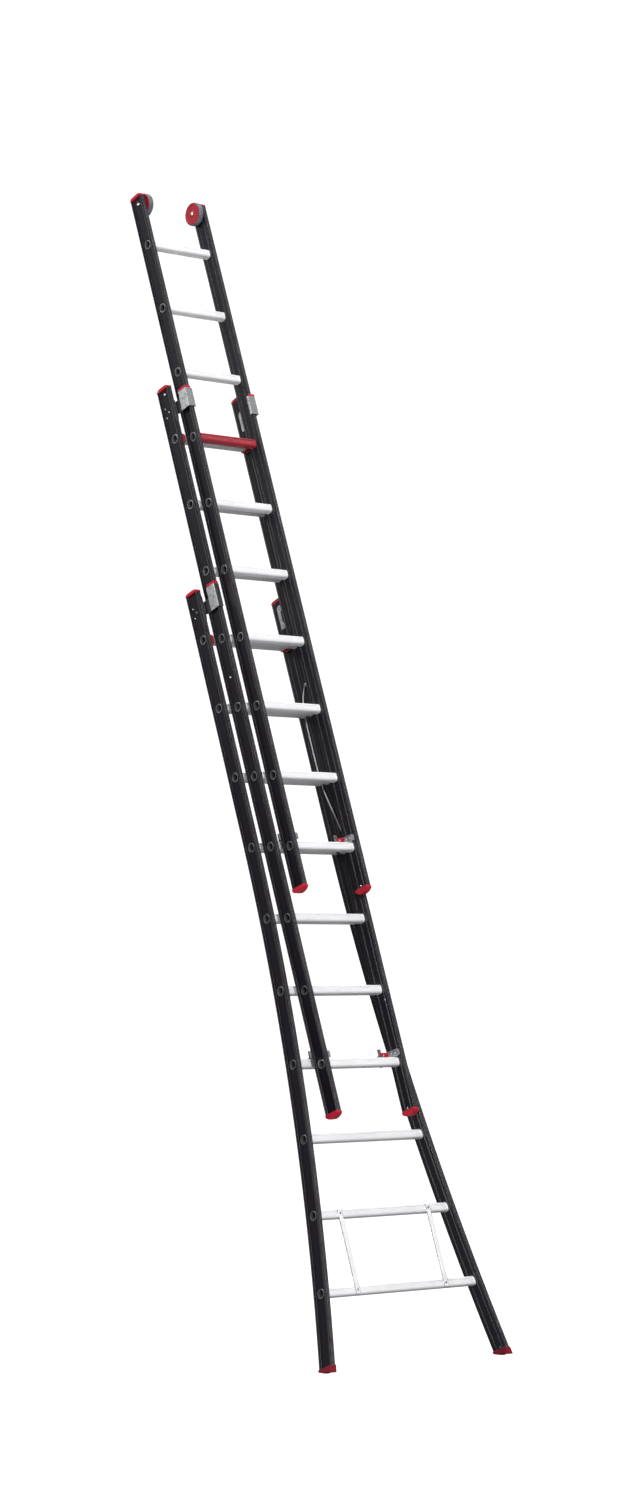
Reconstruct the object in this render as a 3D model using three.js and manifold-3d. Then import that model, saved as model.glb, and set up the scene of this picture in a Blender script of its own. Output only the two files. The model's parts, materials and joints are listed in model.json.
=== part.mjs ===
// Three-section extension ladder, leaning as it does against a wall.
//
// Millimetres, +Z up. Each section is built upright in the ladder's own frame and the whole ladder is then
// tilted: x runs across the ladder, y runs from the climber's side (negative) to the wall side (positive),
// and z runs up along the stiles. z = 0 is where the middle line of the bottom stiles meets the ground.

import * as THREE from 'three';
import { mergeVertices } from 'three/addons/utils/BufferGeometryUtils.js';
import Module from 'manifold-3d';

const wasm = await Module();
wasm.setup();

// ---------------------------------------------------------------- driving dimensions

const LEAN = THREE.MathUtils.degToRad(20.35); // angle between the stiles and the vertical
const RUNG_SPACING = 280;
const RUNGS_PER_SECTION = 10;
const RUNGS_RAISED = 3; // how many rungs each section stands above the one behind it
const LEVEL_DROP = 0.33; // drop of the treads per unit of forward offset, so that they stay nearly level

const STILE_THICKNESS = 22;
const STILE_WALL = 1.8;
const STILE_CORNER = 3;
const RIB_WIDTH = 5; // each stile's outer face is a shallow channel between two ribs
const RIB_SLOPE = 1.5;
const RUNG_RECESS = 9; // depth of that channel, which the rungs' ends lie in

const RUNG_HALF = 16; // half the height and half the depth of a rung
const RUNG_CORNER = 7;
const RUNG_WALL = 2.2;
const RUNG_FLANGE = 1.5; // how far a rung's swaged end stands proud of the channel's floor

const FLARE_TOP = 2019; // the bottom stiles bend outwards below this height
const FLARE_RADIUS = 9780;
const FLARE_STEPS = 24;

const GAP = 0.3; // clearance between pieces that touch
const OVERLAP = 1; // how far solids run into each other where they are joined into one piece
const CAP_HEIGHT = 24; // visible height of a lower end cap
const CAP_LIP = 1; // how far a cap stands proud of its stile
const PLUG_DEPTH = 32; // how far a cap or foot reaches into its stile
const DOME_HEIGHT = 8; // arched plug in a stile's top end
const DOME_ROOT = 6;

const PLATE = 3; // thickness of the guide brackets' metal
const GUIDE_ABOVE_TOP_RUNG = 92;
const GUIDE_CLEARANCE = 3;
const GUIDE_BACK_REACH = 30; // how much of its own stile's depth a bracket covers, from the front edge
const GUIDE_LIP = 12;
const GUIDE_LIP_CLEARANCE = 1;
const GUIDE_EDGE = 1; // a bracket without a lip stops this far short of the guest stile's inner face

const HOOK_THICKNESS = 12;
const HOOK_LEG = 12;
const HOOK_TOP = 42; // above the centre of the rung that the hook is fixed beside
const HOOK_ARM = 7; // thickness of the arm that lies on the rung behind
const HOOK_TAB = 8; // the upright tab starts this far in front of that rung's centre
const HOOK_TAB_TOP = 73;
const HOOK_TAB_THICKNESS = 6;
const HOOK_SETBACK = 3; // behind the front edge of its own stile
const HOOK_SEAT = 0.5; // clearance between the hook and the rung that it rests on
const HOOK_CLEARANCE = 1; // between the hook's legs and that rung
const PAWL_THICKNESS = 8;
const PAWL_GAP = 17; // between the pawl's leg and the rung behind
const PAWL_TOE = 30; // how far the toe reaches back from the leg
const PAWL_TOE_THICKNESS = 5;
const PAWL_SHANK = 6; // thickness of the leg's lower part, which swings towards the pawl's own rung
const PAWL_SHANK_TOP = 8; // the leg widens from this height to the next
const PAWL_LEG_BOTTOM = 18;
const PAWL_SHOULDER = 31; // this height and those around it are above the centre of the pawl's own rung
const PAWL_NECK = 40;
const PAWL_THUMB_TOP = 43;
const PAWL_FINGER_BOTTOM = 47;
const PAWL_TOP = 55;
const PAWL_FINGER = 16; // how far its upper end reaches back and forward from its leg
const PAWL_FINGER_TIP = 14;
const PAWL_THUMB = 10;
const PAWL_DROP = 3; // clearance between the toe and the rung above it

const WHEEL_RADIUS = 46.5;
const WHEEL_WIDTH = 24;
const WHEEL_SIDES = 24;
const TYRE_CORNER = 3;
const RIM_RADIUS = 35;
const HUB_RADIUS = 12;
const DISH = 2; // the wheel's sides are hollowed by this much between hub and rim
const WHEEL_ABOVE_TOP_RUNG = 182;
const WHEEL_STANDOFF = 6;
const AXLE_RADIUS = 5;
const AXLE_CLEARANCE = 0.5;
const AXLE_HEAD = 3; // how much larger in radius the axle's head is, and the boss below
const AXLE_HEAD_HEIGHT = 2;
const AXLE_BOSS = 4;

const FOOT_TOP = 22;
const FOOT_STEP = 7.5; // the climber's half of each sole is raised by this much
const FOOT_LIP = 1.5;

const BRACE_OFFSET = 210;
const BRACE_WIDTH = 22;
const BRACE_THICKNESS = 3;
const BRACE_INSET = 2; // each brace ends this far inside the outer edges of its two rungs

const STRAP_DIAMETER = 5;
const STRAP_STANDOFF = 1.5; // between the strap and the stile's inner face
const STRAP_SIDES = 8;
const STRAP_STEPS = 44;

// Outer width, stile depth, forward offset, how far the stiles reach past the end rungs, and how tall the
// section's guide brackets are.
const SECTIONS = {
  bottom: { width: 443, depth: 68, forward: 0, step: 0, below: 280 - FOOT_TOP - GAP, above: 201, guide: 104 },
  middle: { width: 390, depth: 68, forward: 75, step: 1, below: 206, above: 221, guide: 88 },
  fly: { width: 328, depth: 66, forward: 144, step: 2, below: 184, above: 220 },
};

for (const section of Object.values(SECTIONS)) {
  section.lowestRung = RUNG_SPACING * (1 + RUNGS_RAISED * section.step) - LEVEL_DROP * section.forward;
  section.topRung = section.lowestRung + RUNG_SPACING * (RUNGS_PER_SECTION - 1);
  section.outer = section.width / 2;
  section.inner = section.outer - STILE_THICKNESS;
  section.web = section.outer - RUNG_RECESS;
}

// ---------------------------------------------------------------- materials

function material(color, roughness, metalness) {
  return () => new THREE.MeshStandardMaterial({ color, roughness, metalness });
}

const coatedAluminium = material(0x4a484c, 0.45, 0.6);
const brightAluminium = material(0xd5d7da, 0.35, 0.9);
const redEnamel = material(0xb3202c, 0.35, 0.2);
const redPlastic = material(0xc8242f, 0.5, 0);
const galvanisedSteel = material(0xb4b7ba, 0.4, 0.9);
const greyRubber = material(0x7d8086, 0.8, 0);
const greyWebbing = material(0xb9bbbd, 0.9, 0);

// ---------------------------------------------------------------- the group and its helpers

const ladder = new THREE.Group();
ladder.rotation.x = -LEAN;

function addPiece(name, geometry, makeMaterial) {
  const mesh = new THREE.Mesh(geometry, makeMaterial());
  mesh.name = name;
  ladder.add(mesh);
  return mesh;
}

function toSolid(geometry) {
  const bare = geometry.clone();
  bare.deleteAttribute('normal');
  bare.deleteAttribute('uv');
  const merged = mergeVertices(bare, 1e-4);
  return new wasm.Manifold(
    new wasm.Mesh({
      numProp: 3,
      vertProperties: new Float32Array(merged.attributes.position.array),
      triVerts: new Uint32Array(merged.index.array),
    }),
  );
}

function toGeometry(solid) {
  const mesh = solid.getMesh();
  const geometry = new THREE.BufferGeometry();
  geometry.setAttribute('position', new THREE.BufferAttribute(mesh.vertProperties, 3));
  geometry.setIndex(new THREE.BufferAttribute(mesh.triVerts, 1));
  geometry.computeVertexNormals();
  return geometry;
}

function join(...geometries) {
  return toGeometry(geometries.map(toSolid).reduce((whole, piece) => whole.add(piece)));
}

function cut(geometry, ...cutters) {
  return toGeometry(cutters.map(toSolid).reduce((rest, cutter) => rest.subtract(cutter), toSolid(geometry)));
}

// A rectangle from one place across the ladder to another, with its corners cut off at 45 degrees.
function chamferedOutline(left, right, halfDepth, corner, OutlineClass = THREE.Shape) {
  return new OutlineClass([
    new THREE.Vector2(right, halfDepth - corner),
    new THREE.Vector2(right - corner, halfDepth),
    new THREE.Vector2(left + corner, halfDepth),
    new THREE.Vector2(left, halfDepth - corner),
    new THREE.Vector2(left, -halfDepth + corner),
    new THREE.Vector2(left + corner, -halfDepth),
    new THREE.Vector2(right - corner, -halfDepth),
    new THREE.Vector2(right, -halfDepth + corner),
  ]);
}

// A right-hand stile's outline: a box with a shallow channel between two ribs on its outer side.
function stileOutline(halfDepth) {
  const halfThickness = STILE_THICKNESS / 2;
  const web = halfThickness - RUNG_RECESS;
  const channel = halfDepth - RIB_WIDTH;
  return new THREE.Shape([
    new THREE.Vector2(halfThickness, halfDepth - STILE_CORNER),
    new THREE.Vector2(halfThickness - STILE_CORNER, halfDepth),
    new THREE.Vector2(-halfThickness + STILE_CORNER, halfDepth),
    new THREE.Vector2(-halfThickness, halfDepth - STILE_CORNER),
    new THREE.Vector2(-halfThickness, -halfDepth + STILE_CORNER),
    new THREE.Vector2(-halfThickness + STILE_CORNER, -halfDepth),
    new THREE.Vector2(halfThickness - STILE_CORNER, -halfDepth),
    new THREE.Vector2(halfThickness, -halfDepth + STILE_CORNER),
    new THREE.Vector2(halfThickness, -channel),
    new THREE.Vector2(web, -channel + RIB_SLOPE),
    new THREE.Vector2(web, channel - RIB_SLOPE),
    new THREE.Vector2(halfThickness, channel),
  ]);
}

// A rung's outline: a square with each corner rounded by two short facets.
function rungOutline(half, corner, OutlineClass = THREE.Shape) {
  const points = [];
  for (let quarter = 0; quarter < 4; quarter += 1) {
    for (const turn of [0, 0.5, 1]) {
      const angle = (quarter + turn) * (Math.PI / 2);
      const centre = new THREE.Vector2(half - corner, half - corner);
      centre.rotateAround(new THREE.Vector2(), quarter * (Math.PI / 2));
      points.push(new THREE.Vector2(Math.cos(angle), Math.sin(angle)).multiplyScalar(corner).add(centre));
    }
  }
  return new OutlineClass(points);
}

// Extrudes an outline drawn across the ladder (x, y) from one height to another.
function extrudeUp(shape, from, to, steps = 1) {
  const geometry = new THREE.ExtrudeGeometry(shape, { depth: to - from, steps, bevelEnabled: false });
  return geometry.translate(0, 0, from);
}

// Extrudes an outline drawn from the side (y, z) between two places across the ladder.
function extrudeAcross(shape, from, to) {
  const geometry = new THREE.ExtrudeGeometry(shape, { depth: to - from, steps: 1, bevelEnabled: false });
  const sideToLadder = new THREE.Matrix4().makeBasis(
    new THREE.Vector3(0, 1, 0),
    new THREE.Vector3(0, 0, 1),
    new THREE.Vector3(1, 0, 0),
  );
  return geometry.applyMatrix4(sideToLadder).translate(from, 0, 0);
}

function box(low, high) {
  const size = high.map((value, axis) => value - low[axis]);
  const centre = high.map((value, axis) => (value + low[axis]) / 2);
  return new THREE.BoxGeometry(...size).translate(...centre);
}

// Mirrors a closed geometry in x and turns its triangles the right way round again.
function mirrorAcross(geometry) {
  const mirrored = mergeVertices(geometry.clone().deleteAttribute('normal').deleteAttribute('uv'), 1e-4);
  mirrored.scale(-1, 1, 1);
  mirrored.index.array.reverse();
  mirrored.computeVertexNormals();
  return mirrored;
}

// Gives a piece built for the right-hand side as it is wanted on either side.
function onSide(geometry, side) {
  return side > 0 ? geometry : mirrorAcross(geometry);
}

// How far the bottom stiles stand out sideways at a height, and how steeply they do so.
function flareAt(height) {
  return Math.max(0, FLARE_TOP - height) ** 2 / (2 * FLARE_RADIUS);
}

function flareSlopeAt(height) {
  return Math.max(0, FLARE_TOP - height) / FLARE_RADIUS;
}

function bendOutwards(geometry, side) {
  const position = geometry.attributes.position;
  for (let index = 0; index < position.count; index += 1) {
    position.setX(index, position.getX(index) + side * flareAt(position.getZ(index)));
  }
  return geometry;
}

function forEachSide(build) {
  build('left', -1);
  build('right', 1);
}

// ---------------------------------------------------------------- stiles

function stileTube(section, bottom, top, steps) {
  const halfDepth = section.depth / 2;
  const outline = stileOutline(halfDepth);
  const left = -STILE_THICKNESS / 2 + STILE_WALL;
  const right = STILE_THICKNESS / 2 - RUNG_RECESS - STILE_WALL;
  outline.holes.push(chamferedOutline(left, right, halfDepth - STILE_WALL, STILE_CORNER / 2, THREE.Path));
  return extrudeUp(outline, bottom, top, steps);
}

// The arched plug that closes a stile's top end.
function stileDome(section, tubeTop) {
  const half = section.depth / 2;
  const outline = new THREE.Shape();
  outline.moveTo(-half, tubeTop - DOME_ROOT);
  outline.lineTo(half, tubeTop - DOME_ROOT);
  outline.lineTo(half, tubeTop);
  outline.quadraticCurveTo(half, tubeTop + DOME_HEIGHT, 0, tubeTop + DOME_HEIGHT);
  outline.quadraticCurveTo(-half, tubeTop + DOME_HEIGHT, -half, tubeTop);
  const shape = new THREE.Shape(outline.getPoints(4));
  return extrudeAcross(shape, -STILE_THICKNESS / 2, STILE_THICKNESS / 2);
}

// The pin that a wheel turns on, with its head outside the stile and a boss inside.
function wheelAxle(section, side) {
  const height = section.topRung + WHEEL_ABOVE_TOP_RUNG;
  const across = (radius, from, to) =>
    new THREE.CylinderGeometry(radius, radius, to - from, 16)
      .rotateZ(Math.PI / 2)
      .translate(side * ((from + to) / 2), -section.forward, height);
  const wheelInner = section.inner - WHEEL_STANDOFF - WHEEL_WIDTH;
  return [
    across(AXLE_RADIUS, wheelInner - PLATE, section.web + OVERLAP),
    across(AXLE_RADIUS + AXLE_HEAD, section.web - OVERLAP, section.web + AXLE_HEAD_HEIGHT),
    across(AXLE_RADIUS + AXLE_BOSS, section.inner - WHEEL_STANDOFF + GAP, section.inner + OVERLAP),
  ];
}

function rungHoles(section, side) {
  const holes = [];
  for (let number = 0; number < RUNGS_PER_SECTION; number += 1) {
    const height = section.lowestRung + number * RUNG_SPACING;
    const middle = section.outer + (section.step === 0 ? flareAt(height) : 0);
    const shape = rungOutline(RUNG_HALF + GAP, RUNG_CORNER + GAP);
    const reach = 2 * STILE_THICKNESS;
    const cutter = extrudeAcross(shape, side * middle - reach, side * middle + reach);
    holes.push(cutter.translate(0, -section.forward, height));
  }
  return holes;
}

function makeStile(name, section, side, sideName) {
  const flared = section.step === 0;
  const tubeBottom = section.lowestRung - section.below + (flared ? 0 : CAP_HEIGHT + GAP);
  const tubeTop = section.topRung + section.above - DOME_HEIGHT;
  const tube = stileTube(section, tubeBottom, tubeTop, flared ? FLARE_STEPS : 1);
  const closed = join(tube, stileDome(section, tubeTop));
  closed.translate(section.outer - STILE_THICKNESS / 2, -section.forward, 0);
  if (flared) {
    bendOutwards(closed, 1);
  }
  const pieces = [onSide(closed, side)];
  if (name === 'fly') {
    pieces.push(...wheelAxle(section, side));
  }
  addPiece(`${name}_stile_${sideName}`, cut(join(...pieces), ...rungHoles(section, side)), coatedAluminium);
}

// ---------------------------------------------------------------- rungs

function makeRung(name, section, index) {
  const height = section.topRung - index * RUNG_SPACING;
  const flared = section.step === 0;
  const flare = flared ? flareAt(height) + RUNG_HALF * flareSlopeAt(height) : 0;
  const half = section.web + flare + RUNG_FLANGE;
  const shape = rungOutline(RUNG_HALF, RUNG_CORNER);
  shape.holes.push(rungOutline(RUNG_HALF - RUNG_WALL, RUNG_CORNER - RUNG_WALL, THREE.Path));
  const geometry = extrudeAcross(shape, -half, half).translate(0, -section.forward, height);
  const isMarker = name === 'fly' && index === 3;
  addPiece(`${name}_rung_${index + 1}`, geometry, isMarker ? redEnamel : brightAluminium);
}

// ---------------------------------------------------------------- caps, feet and braces

// The part of a right-hand cap or foot that sits in the hollow of its stile.
function insidePlug(section, from, to) {
  const inset = STILE_WALL + GAP;
  const left = -STILE_THICKNESS / 2 + inset;
  const right = STILE_THICKNESS / 2 - RUNG_RECESS - inset;
  const outline = chamferedOutline(left, right, section.depth / 2 - inset, STILE_CORNER / 2 + GAP);
  return extrudeUp(outline, from, to);
}

function makeEndCap(name, section, side, sideName) {
  const bottom = section.lowestRung - section.below;
  const top = bottom + CAP_HEIGHT;
  const half = STILE_THICKNESS / 2 + CAP_LIP;
  const outline = chamferedOutline(-half, half, section.depth / 2 + CAP_LIP, STILE_CORNER);
  const cap = join(extrudeUp(outline, bottom, top), insidePlug(section, top - OVERLAP, top + PLUG_DEPTH));
  cap.translate(section.outer - STILE_THICKNESS / 2, -section.forward, 0);
  addPiece(`${name}_end_cap_${sideName}`, onSide(cap, side), redPlastic);
}

// A wedge whose sole lies flat on the ground on the wall side and steps up on the climber's side.
function makeFoot(section, side, sideName) {
  const half = section.depth / 2 + FOOT_LIP;
  const groundAt = (y) => y * Math.tan(LEAN);
  const outline = new THREE.Shape([
    new THREE.Vector2(half, FOOT_TOP),
    new THREE.Vector2(-half, FOOT_TOP),
    new THREE.Vector2(-half, groundAt(-half) + FOOT_STEP),
    new THREE.Vector2(0, FOOT_STEP),
    new THREE.Vector2(0, 0),
    new THREE.Vector2(half, groundAt(half)),
  ]);
  const halfThickness = STILE_THICKNESS / 2 + FOOT_LIP;
  const foot = join(
    extrudeAcross(outline, -halfThickness, halfThickness),
    insidePlug(section, FOOT_TOP - OVERLAP, FOOT_TOP + PLUG_DEPTH),
  );
  bendOutwards(foot.translate(section.outer - STILE_THICKNESS / 2, 0, 0), 1);
  addPiece(`foot_${sideName}`, onSide(foot, side), redPlastic);
}

function makeBrace(section, side, sideName) {
  const front = -(RUNG_HALF + GAP);
  const reach = RUNG_HALF - BRACE_INSET;
  const brace = box(
    [side * BRACE_OFFSET - BRACE_WIDTH / 2, front - BRACE_THICKNESS, section.lowestRung - reach],
    [side * BRACE_OFFSET + BRACE_WIDTH / 2, front, section.lowestRung + RUNG_SPACING + reach],
  );
  addPiece(`brace_${sideName}`, brace, brightAluminium);
}

// ---------------------------------------------------------------- guide brackets

// A bent plate fixed to the inner face of its own stile. It runs forward beside the next section's stile
// and across that stile's front. A plate with a lip also reaches a little way back along its inner face.
function makeGuide(name, own, guest, hasLip, side, sideName) {
  const plateOuter = own.inner - GAP;
  const plateInner = plateOuter - PLATE;
  const back = -(own.forward + own.depth / 2 - GUIDE_BACK_REACH);
  const front = -(guest.forward + guest.depth / 2 + GUIDE_CLEARANCE + PLATE);
  const lipInner = guest.inner - PLATE - GUIDE_LIP_CLEARANCE;
  const frontEdge = guest.inner + GUIDE_EDGE;
  const lip = [
    new THREE.Vector2(lipInner + PLATE, front + PLATE),
    new THREE.Vector2(lipInner + PLATE, front + GUIDE_LIP),
    new THREE.Vector2(lipInner, front + GUIDE_LIP),
    new THREE.Vector2(lipInner, front),
  ];
  const edge = [new THREE.Vector2(frontEdge, front + PLATE), new THREE.Vector2(frontEdge, front)];
  const outline = new THREE.Shape([
    new THREE.Vector2(plateOuter, back),
    new THREE.Vector2(plateInner, back),
    new THREE.Vector2(plateInner, front + PLATE),
    ...(hasLip ? lip : edge),
    new THREE.Vector2(plateOuter, front),
  ]);
  const bottom = own.topRung + GUIDE_ABOVE_TOP_RUNG;
  const bracket = extrudeUp(outline, bottom, bottom + own.guide);
  addPiece(`${name}_guide_${sideName}`, onSide(bracket, side), galvanisedSteel);
}

// ---------------------------------------------------------------- rung hooks and their pawls

// Where the rung that carries a hook lies, seen from the hook's own lowest rung: back and up.
function hostRungFrom(own, host) {
  return {
    back: own.forward - host.forward,
    up: host.lowestRung + RUNGS_RAISED * RUNG_SPACING - own.lowestRung,
  };
}

// Beside the rung a block stands against the stile. From it an arm reaches back over the rung behind, with
// one leg in front of that rung and one behind it. An upright tab stands on the arm.
function makeHook(name, own, host, side, sideName) {
  const rest = hostRungFrom(own, host);
  const notch = RUNG_HALF + HOOK_CLEARANCE;
  const underside = rest.up + RUNG_HALF + HOOK_SEAT;
  const front = -own.depth / 2 + HOOK_SETBACK;
  const frontLeg = rest.back - notch - HOOK_LEG;
  const rearLeg = rest.back + notch + HOOK_LEG;
  const armTop = underside + HOOK_ARM;
  const tab = rest.back - HOOK_TAB;
  const outline = new THREE.Shape([
    new THREE.Vector2(front, notch),
    new THREE.Vector2(frontLeg, notch),
    new THREE.Vector2(frontLeg, 0),
    new THREE.Vector2(rest.back - notch, 0),
    new THREE.Vector2(rest.back - notch, underside),
    new THREE.Vector2(rest.back + notch, underside),
    new THREE.Vector2(rest.back + notch, rest.up),
    new THREE.Vector2(rearLeg, rest.up),
    new THREE.Vector2(rearLeg, armTop),
    new THREE.Vector2(tab + HOOK_TAB_THICKNESS, armTop),
    new THREE.Vector2(tab + HOOK_TAB_THICKNESS, HOOK_TAB_TOP),
    new THREE.Vector2(tab, HOOK_TAB_TOP),
    new THREE.Vector2(tab, armTop),
    new THREE.Vector2(frontLeg, armTop),
    new THREE.Vector2(front, HOOK_TOP),
  ]);
  const hook = extrudeAcross(outline, own.inner - GAP - HOOK_THICKNESS, own.inner - GAP);
  hook.translate(0, -own.forward, own.lowestRung);
  addPiece(`${name}_hook_${sideName}`, onSide(hook, side), galvanisedSteel);
}

// The pawl's pivot and its leg lie between the two rungs; its toe reaches under the rung behind.
function makePawl(name, own, host, side, sideName) {
  const rest = hostRungFrom(own, host);
  const legBack = rest.back - RUNG_HALF - PAWL_GAP;
  const legFront = legBack - HOOK_LEG;
  const toeTop = rest.up - RUNG_HALF - PAWL_DROP;
  const outline = new THREE.Shape([
    new THREE.Vector2(legBack - PAWL_SHANK, toeTop - PAWL_TOE_THICKNESS),
    new THREE.Vector2(legBack + PAWL_TOE, toeTop - PAWL_TOE_THICKNESS),
    new THREE.Vector2(legBack + PAWL_TOE, toeTop),
    new THREE.Vector2(legBack, toeTop),
    new THREE.Vector2(legBack, PAWL_NECK),
    new THREE.Vector2(legBack + PAWL_FINGER, PAWL_FINGER_BOTTOM),
    new THREE.Vector2(legBack + PAWL_FINGER_TIP, PAWL_TOP),
    new THREE.Vector2(legFront - PAWL_THUMB, PAWL_THUMB_TOP),
    new THREE.Vector2(legFront, PAWL_SHOULDER),
    new THREE.Vector2(legFront, PAWL_LEG_BOTTOM),
    new THREE.Vector2(legBack - PAWL_SHANK, PAWL_SHANK_TOP),
  ]);
  const outer = own.inner - GAP - HOOK_THICKNESS - GAP;
  const pawl = extrudeAcross(outline, outer - PAWL_THICKNESS, outer);
  pawl.translate(0, -own.forward, own.lowestRung);
  addPiece(`${name}_pawl_${sideName}`, onSide(pawl, side), redPlastic);
}

// ---------------------------------------------------------------- wheels and strap

function makeWheel(section, side, sideName) {
  const bore = AXLE_RADIUS + AXLE_CLEARANCE;
  const half = WHEEL_WIDTH / 2;
  const profile = [
    [bore, -half],
    [HUB_RADIUS, -half],
    [HUB_RADIUS + DISH, -half + DISH],
    [RIM_RADIUS - DISH, -half + DISH],
    [RIM_RADIUS, -half],
    [WHEEL_RADIUS - TYRE_CORNER, -half],
    [WHEEL_RADIUS, -half + TYRE_CORNER],
    [WHEEL_RADIUS, half - TYRE_CORNER],
    [WHEEL_RADIUS - TYRE_CORNER, half],
    [RIM_RADIUS, half],
    [RIM_RADIUS - DISH, half - DISH],
    [HUB_RADIUS + DISH, half - DISH],
    [HUB_RADIUS, half],
    [bore, half],
    [bore, -half],
  ];
  const outline = profile.map(([radius, along]) => new THREE.Vector2(radius, along));
  const wheel = new THREE.LatheGeometry(outline, WHEEL_SIDES);
  wheel.rotateZ(Math.PI / 2);
  const middle = section.inner - WHEEL_STANDOFF - half;
  wheel.translate(side * middle, -section.forward, section.topRung + WHEEL_ABOVE_TOP_RUNG);
  addPiece(`wheel_${sideName}`, wheel, greyRubber);
}

// A cord fixed at both ends to the inner face of the middle section's right stile. Between its ends it
// hangs on the wall side of two rungs. Each point is how far it lies forward and how high along the stile.
const STRAP_ROUTE = [
  [84, 2008],
  [72, 2060],
  [56, 2125],
  [40, 2200],
  [35, 2360],
  [38, 2490],
  [50, 2555],
  [78, 2604],
];

function makeStrap(section) {
  const across = section.inner - STRAP_STANDOFF - STRAP_DIAMETER / 2;
  const points = STRAP_ROUTE.map(([forward, height]) => new THREE.Vector3(across, -forward, height));
  const curve = new THREE.CatmullRomCurve3(points, false, 'centripetal');
  const ring = [];
  for (let index = 0; index < STRAP_SIDES; index += 1) {
    const angle = (index / STRAP_SIDES) * 2 * Math.PI;
    ring.push(new THREE.Vector2(Math.cos(angle), Math.sin(angle)).multiplyScalar(STRAP_DIAMETER / 2));
  }
  const outline = new THREE.Shape(ring);
  const geometry = new THREE.ExtrudeGeometry(outline, { steps: STRAP_STEPS, extrudePath: curve });
  addPiece('strap', geometry, greyWebbing);
}

// ---------------------------------------------------------------- assembly

const { bottom, middle, fly } = SECTIONS;

for (const [name, section] of Object.entries(SECTIONS)) {
  forEachSide((sideName, side) => makeStile(name, section, side, sideName));
  for (let index = 0; index < RUNGS_PER_SECTION; index += 1) {
    makeRung(name, section, index);
  }
}

forEachSide((sideName, side) => {
  makeFoot(bottom, side, sideName);
  makeBrace(bottom, side, sideName);
  makeEndCap('middle', middle, side, sideName);
  makeEndCap('fly', fly, side, sideName);
  makeGuide('bottom', bottom, middle, false, side, sideName);
  makeGuide('middle', middle, fly, true, side, sideName);
  makeHook('middle', middle, bottom, side, sideName);
  makeHook('fly', fly, middle, side, sideName);
  makePawl('middle', middle, bottom, side, sideName);
  makePawl('fly', fly, middle, side, sideName);
  makeWheel(fly, side, sideName);
});
makeStrap(middle);

// The origin is on the ground under the centre of the leaning ladder.
const extent = new THREE.Box3().setFromObject(ladder, true);
ladder.position.y = -(extent.min.y + extent.max.y) / 2;
ladder.position.z = -extent.min.z;

const group = new THREE.Group();
group.add(ladder);
group.updateMatrixWorld(true);

export default group;
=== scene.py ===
"""Looks of a three-section extension ladder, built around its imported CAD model.

Every piece is made in the ladder's own frame, which leans with the ladder: x runs across the ladder, y runs
from the climber's side (negative) to the wall side (positive) and z runs up along the stiles. Metres.
"""

import json
import math

import bmesh
import bpy
from mathutils import Matrix, Vector


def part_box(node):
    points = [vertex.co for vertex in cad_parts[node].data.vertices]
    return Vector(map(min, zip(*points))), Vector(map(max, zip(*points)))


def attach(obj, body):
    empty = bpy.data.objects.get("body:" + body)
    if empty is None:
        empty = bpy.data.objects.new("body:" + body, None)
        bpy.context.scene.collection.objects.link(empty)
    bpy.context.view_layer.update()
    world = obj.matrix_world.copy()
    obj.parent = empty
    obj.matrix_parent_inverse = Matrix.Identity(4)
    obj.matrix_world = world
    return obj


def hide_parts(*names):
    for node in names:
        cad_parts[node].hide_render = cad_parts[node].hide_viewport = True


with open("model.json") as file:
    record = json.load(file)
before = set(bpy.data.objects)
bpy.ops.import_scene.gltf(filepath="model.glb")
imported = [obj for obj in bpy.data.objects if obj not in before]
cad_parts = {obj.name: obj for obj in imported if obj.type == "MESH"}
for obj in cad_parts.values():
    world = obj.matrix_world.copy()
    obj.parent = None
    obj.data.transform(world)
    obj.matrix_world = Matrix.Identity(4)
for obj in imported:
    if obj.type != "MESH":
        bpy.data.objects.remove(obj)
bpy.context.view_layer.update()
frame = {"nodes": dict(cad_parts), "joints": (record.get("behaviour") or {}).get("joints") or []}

# ---- driving dimensions

MM = 0.001
STILE_THICKNESS = 22 * MM
STILE_CORNER = 3 * MM
RIB_WIDTH = 5 * MM  # each stile's outer face is a shallow channel between two ribs
RIB_SLOPE = 1.5 * MM
RUNG_RECESS = 9 * MM  # depth of that channel, which the rungs' ends lie in
FIRST_RUNG = 280 * MM  # height of the lowest rung of the bottom section, along the stiles
RUNGS_PER_SECTION = 10
RUNGS_RAISED = 3
RUNG_HALF = 16 * MM
RUNG_CORNER = 7 * MM
END_CORNER = 14 * MM  # the rungs' ends are nearly round where they pass through the stiles
RUNG_FLANGE = 1.5 * MM  # how far a rung's swaged end stands proud of the channel's floor
FLARE_TOP = 2019 * MM  # the bottom stiles bend outwards below this height
FLARE_RADIUS = 9780 * MM
FLARE_STEPS = 40
DOME_HEIGHT = 8 * MM  # arched plug in a stile's top end
GAP = 0.3 * MM
PLATE = 3 * MM
HOOK_THICKNESS = 12 * MM
PAWL_THICKNESS = 8 * MM
SHARP_ANGLE = math.radians(32)  # faces that meet at more than this are shaded apart
WELD_DISTANCE = 0.001 * MM

# ---- the ladder's own frame


def joint(name):
    return next(j for j in frame["joints"] if j["name"] == name)


def ladder_frame():
    """Matrix from the ladder's own frame to the row frame."""
    up = Vector(joint("middle_slide")["axis"]).normalized()
    across = Vector((1, 0, 0))
    back = up.cross(across)
    low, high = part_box("bottom_rung_10")
    origin = (low + high) / 2 - FIRST_RUNG * up
    matrix = Matrix((across, back, up)).transposed().to_4x4()
    matrix.translation = origin
    return matrix


LADDER = ladder_frame()
FROM_ROW = LADDER.inverted()


def local_box(node):
    """Lowest and highest corner of a CAD node in the ladder's own frame."""
    points = [FROM_ROW @ vertex.co for vertex in frame["nodes"][node].data.vertices]
    low = Vector([min(point[axis] for point in points) for axis in range(3)])
    high = Vector([max(point[axis] for point in points) for axis in range(3)])
    return low, high


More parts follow.
